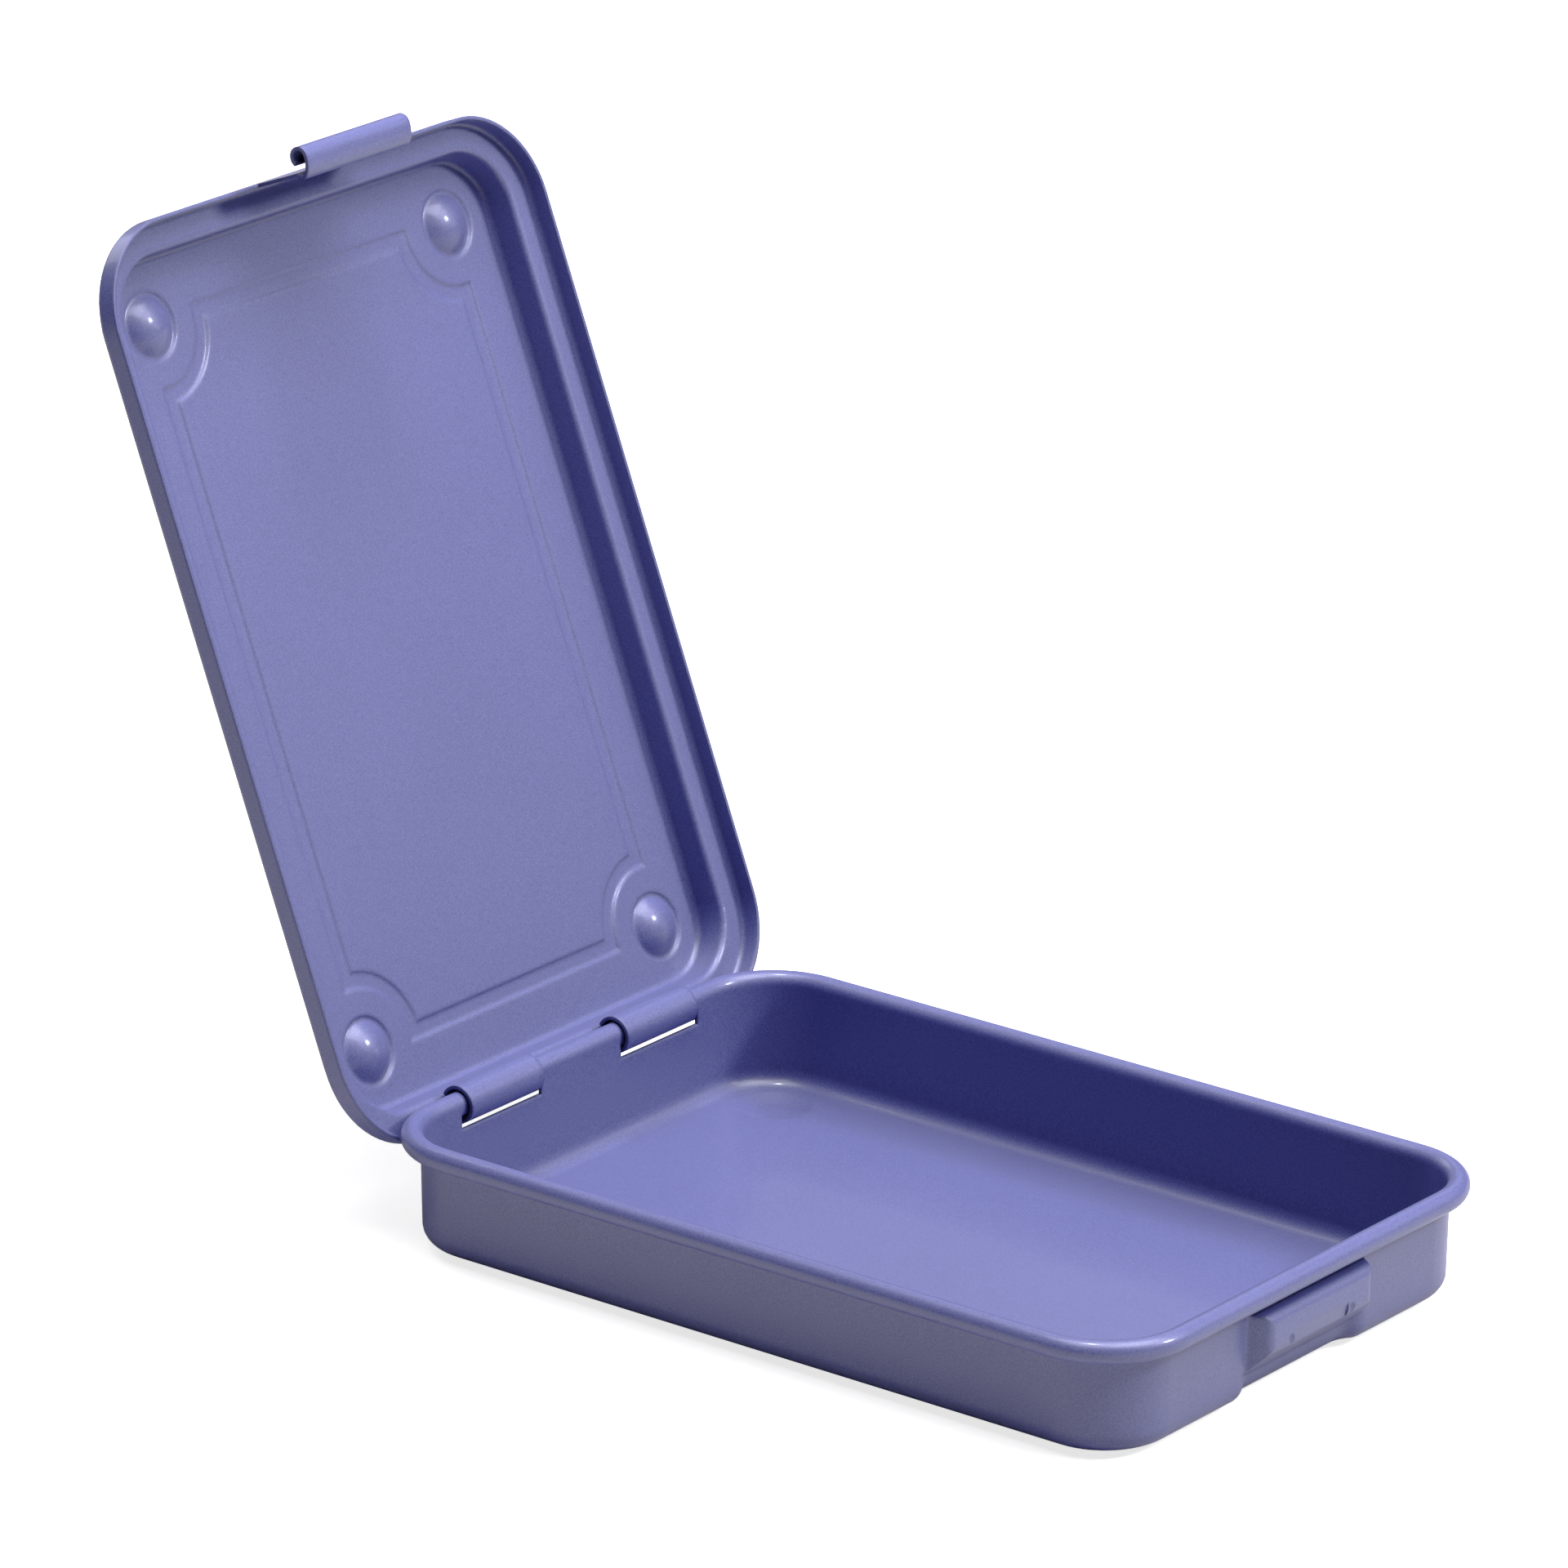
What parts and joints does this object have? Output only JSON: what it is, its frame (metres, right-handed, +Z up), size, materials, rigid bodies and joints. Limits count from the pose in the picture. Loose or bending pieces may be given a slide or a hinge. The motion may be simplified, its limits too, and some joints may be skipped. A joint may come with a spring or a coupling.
{
  "type": "steel storage box",
  "caption": "Flat rectangular pressed-steel storage box: a tray with a rolled rim and a hinged lid that hooks onto the rim and snaps shut with a sprung tongue.",
  "frame": {"origin": "on the surface the box stands on, in the middle of the footprint of the open box", "axes": "X along the hinge, -Y towards the latch side of the tray, +Y towards the hinge and the open lid, +Z up"},
  "size_m": [0.1076, 0.2125, 0.1684],
  "materials": {
    "coated_steel": "semi-gloss lavender powder coat over pressed steel sheet"
  },
  "bodies": {
    "tray": {"tray": "coated_steel"},
    "lid": {"lid": "coated_steel"}
  },
  "joints": [
    {"name": "lid_hinge", "type": "hinge", "parent": "tray", "child": "lid", "pos_m": [0, 0.04485, 0.01885], "axis": [1, 0, 0], "range_deg": [0, 111.5]}
  ]
}
